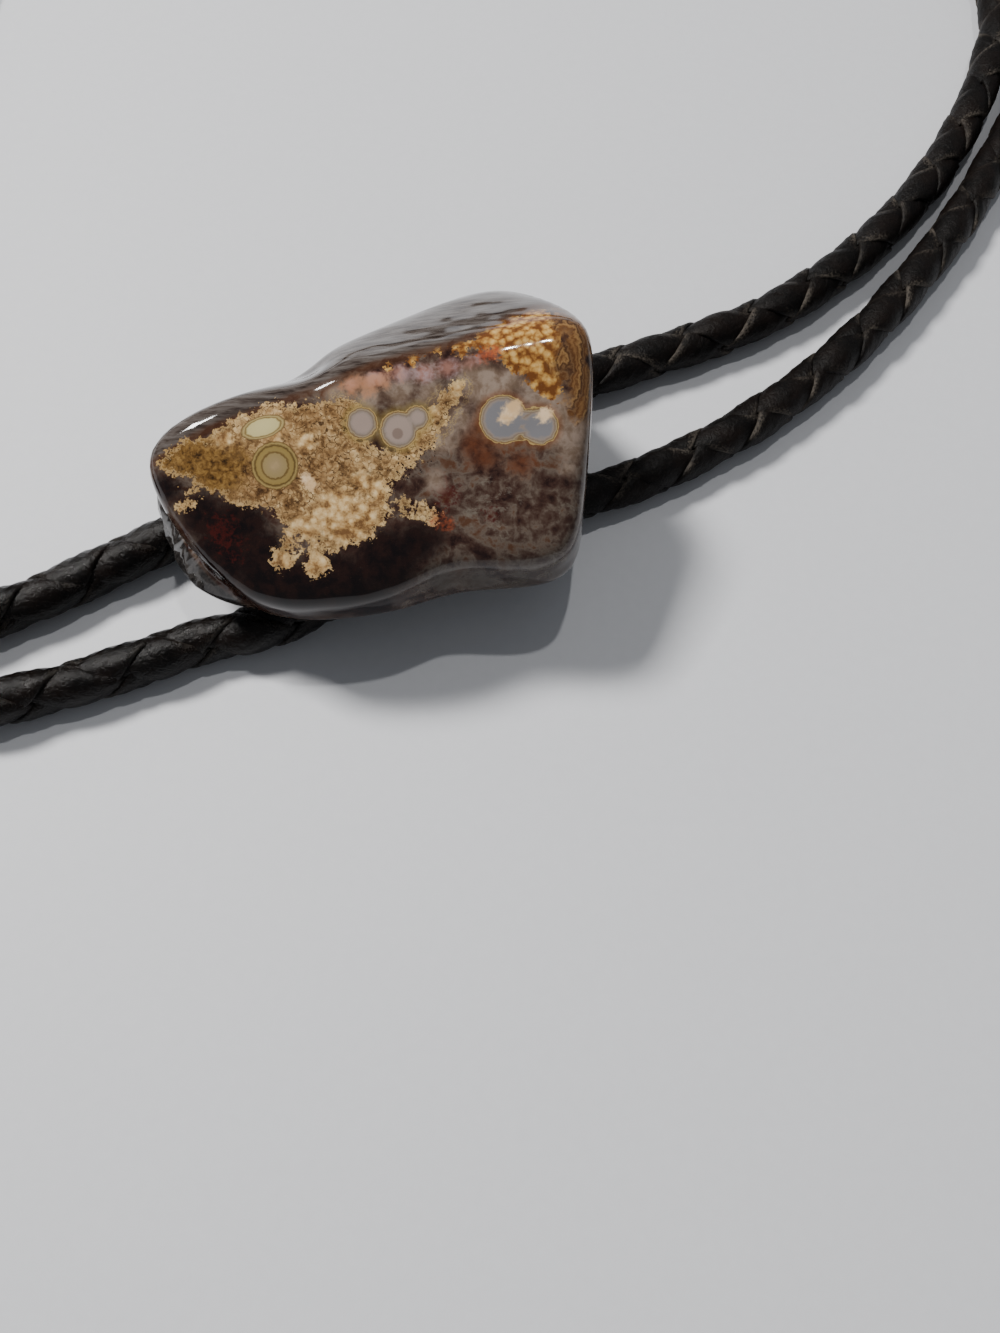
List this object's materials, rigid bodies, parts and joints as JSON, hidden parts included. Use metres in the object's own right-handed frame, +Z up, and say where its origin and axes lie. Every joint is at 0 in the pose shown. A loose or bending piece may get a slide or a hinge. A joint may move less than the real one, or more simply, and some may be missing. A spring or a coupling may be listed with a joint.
{
  "type": "bolo tie",
  "caption": "Bolo tie with a tumbled, polished agate slide on a round braided leather cord, metal slide back and cord tips, lying flat",
  "frame": {"origin": "middle of the underside of the slide, the stone with its slide back, on the surface the bolo tie lies on", "axes": "+X along the stone's longest side, to the right as the stone is seen from in front; +Y across it, away from the viewer; +Z up, out of the surface it lies on"},
  "size_m": [0.1514, 0.1441, 0.0214],
  "materials": {
    "agate": "natural agate, tumbled and highly polished, partly translucent",
    "finding_metal": "satin, darkened",
    "braided_leather": "four-strand round braid, dyed dark brown-black, waxed, pale worn edges",
    "tip_metal": "polished nickel"
  },
  "bodies": {
    "root": {"stone": "agate", "slide_back": "finding_metal", "cord_neck_loop": "braided_leather", "cord_end_a": "braided_leather", "cord_end_b": "braided_leather", "tip_a": "tip_metal", "tip_b": "tip_metal"}
  },
  "joints": []
}
